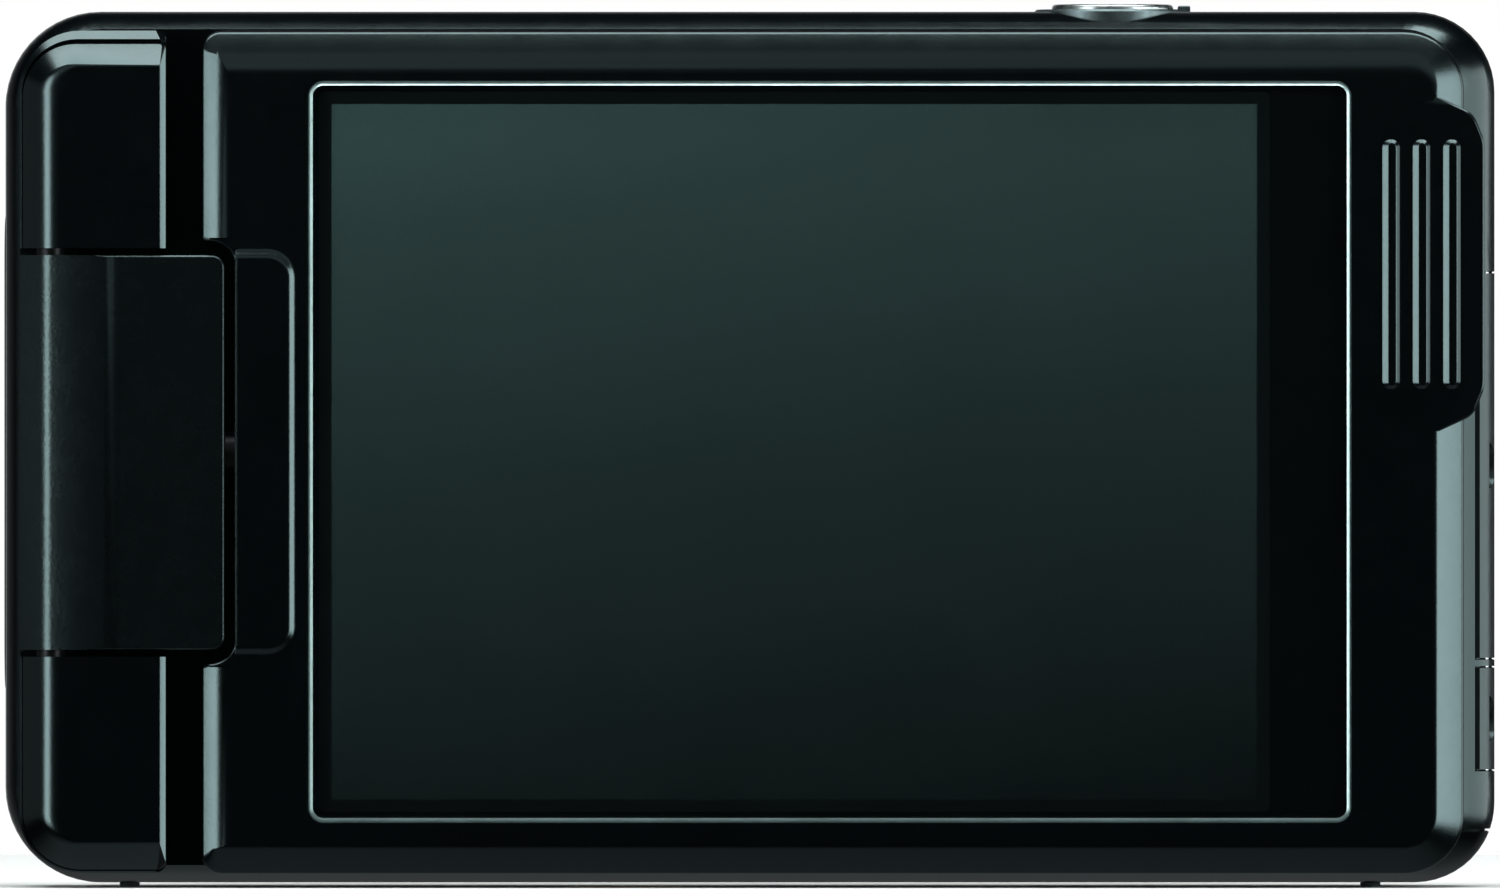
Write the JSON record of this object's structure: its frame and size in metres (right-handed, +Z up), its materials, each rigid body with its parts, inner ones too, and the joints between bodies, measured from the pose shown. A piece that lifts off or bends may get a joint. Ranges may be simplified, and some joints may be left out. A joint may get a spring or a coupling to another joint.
{
  "type": "camcorder",
  "caption": "Slim pocket camcorder with a swing-out display on a rear hinge block, zoom ring, doors, battery and tripod bush.",
  "frame": {"origin": "bottom centre: middle of the width and of the thickness, at the plane of the feet", "axes": "+X along the width towards the zoom dial side, +Y out of the lens, +Z up; the display faces -Y"},
  "size_m": [0.0969, 0.019, 0.0574],
  "materials": {
    "shell_plastic": "fine-grained black moulding, semi-matte",
    "panel_plastic": "fine-grained black moulding, smooth bevels",
    "block_plastic": "leather-grained black moulding",
    "door_plastic": "dark grey moulding",
    "gloss_black": "polished black",
    "window_glass": "clear glass, black printed border",
    "screen": "dark teal unlit screen",
    "diffuser": "white diffuser",
    "steel": "bright steel",
    "black_steel": "blackened screw",
    "brass": "machined brass",
    "magnesium": "cast chassis",
    "circuit_board": "green solder mask",
    "chip": "black epoxy",
    "battery_wrap": "dark wrap",
    "lens_glass": "coated glass",
    "dial_metal": "fine-textured dark metallic",
    "cap_metal": "satin plated cap",
    "rubber": "soft black foot",
    "gold": "plated contact"
  },
  "bodies": {
    "camera": {"battery": "battery_wrap", "battery_contacts": "gold", "battery_door_pin": "steel", "battery_tray": "gloss_black", "board_chips": "chip", "board_screws": "steel", "button_board": "circuit_board", "case_screws": "black_steel", "chassis": "magnesium", "data_socket": "steel", "dial_cup": "gloss_black", "feet": "rubber", "front_glass": "lens_glass", "front_shell": "shell_plastic", "hinge_bushes": "steel", "hinge_cover_lower": "panel_plastic", "hinge_cover_screws": "black_steel", "hinge_cover_upper": "panel_plastic", "hinge_side_plate": "shell_plastic", "image_sensor": "chip", "lamp_led": "diffuser", "lamp_window": "diffuser", "lens_barrel": "gloss_black", "lens_elements": "lens_glass", "lens_ring": "dial_metal", "main_board": "circuit_board", "microphones": "steel", "power_socket": "gloss_black", "rear_shell": "shell_plastic", "sensor_board": "circuit_board", "shutter_switch": "chip", "side_board": "circuit_board", "side_door_pin": "steel", "speaker": "black_steel", "strap_bar": "steel", "tripod_bush": "brass", "video_socket": "steel", "zoom_spring": "steel"},
    "zoom_ring": {"zoom_ring": "dial_metal"},
    "shutter_button": {"shutter_button": "cap_metal"},
    "power_button": {"power_button": "door_plastic"},
    "playback_button": {"playback_button": "door_plastic"},
    "lamp_button": {"lamp_button": "door_plastic"},
    "long_door": {"long_door": "door_plastic"},
    "small_door": {"small_door": "door_plastic"},
    "battery_door": {"battery_door": "door_plastic"},
    "battery_latch": {"battery_latch": "door_plastic"},
    "screen": {"swing_shaft": "steel", "hinge_block_rear": "block_plastic", "hinge_block_front": "block_plastic", "hinge_frame": "steel", "tilt_shaft": "steel", "tilt_washers": "steel", "panel_front": "panel_plastic", "panel_back": "panel_plastic", "panel_screws": "black_steel", "window_glass": "window_glass", "lcd_screen": "screen", "backlight": "diffuser"}
  },
  "joints": [
    {"name": "screen_swing", "type": "hinge", "parent": "camera", "child": "screen", "pos_m": [-0.04537, -0.00717, 0.02825], "axis": [0, 0, -1], "range_deg": [0, 180]},
    {"name": "zoom_turn", "type": "hinge", "parent": "camera", "child": "zoom_ring", "pos_m": [0.0236, 0.0012, 0.0569], "axis": [0, 0, 1], "range_deg": [-20, 20], "stiffness_Nm_per_rad": 0.01},
    {"name": "shutter_button_press", "type": "slide", "parent": "camera", "child": "shutter_button", "axis": [0, 0, -1], "range_m": [0, 0.0005], "stiffness_N_per_m": 800},
    {"name": "power_button_press", "type": "slide", "parent": "camera", "child": "power_button", "axis": [0, 1, 0], "range_m": [0, 0.0003], "stiffness_N_per_m": 900},
    {"name": "playback_button_press", "type": "slide", "parent": "camera", "child": "playback_button", "axis": [0, 1, 0], "range_m": [0, 0.0003], "stiffness_N_per_m": 900},
    {"name": "lamp_button_press", "type": "slide", "parent": "camera", "child": "lamp_button", "axis": [0, 1, 0], "range_m": [0, 0.0003], "stiffness_N_per_m": 900},
    {"name": "long_door_swing", "type": "hinge", "parent": "camera", "child": "long_door", "pos_m": [0.0479, 0.0057, 0.0274], "axis": [0, 0, 1], "range_deg": [0, 90]},
    {"name": "small_door_swing", "type": "hinge", "parent": "camera", "child": "small_door", "pos_m": [0.0479, 0.0057, 0.01095], "axis": [0, 0, 1], "range_deg": [0, 90]},
    {"name": "battery_door_swing", "type": "hinge", "parent": "camera", "child": "battery_door", "pos_m": [0.0082, 0.0028, 0.0008], "axis": [0, 1, 0], "range_deg": [0, 90]},
    {"name": "battery_latch_slide", "type": "slide", "parent": "battery_door", "child": "battery_latch", "axis": [-1, 0, 0], "range_m": [0, 0.0015]}
  ]
}
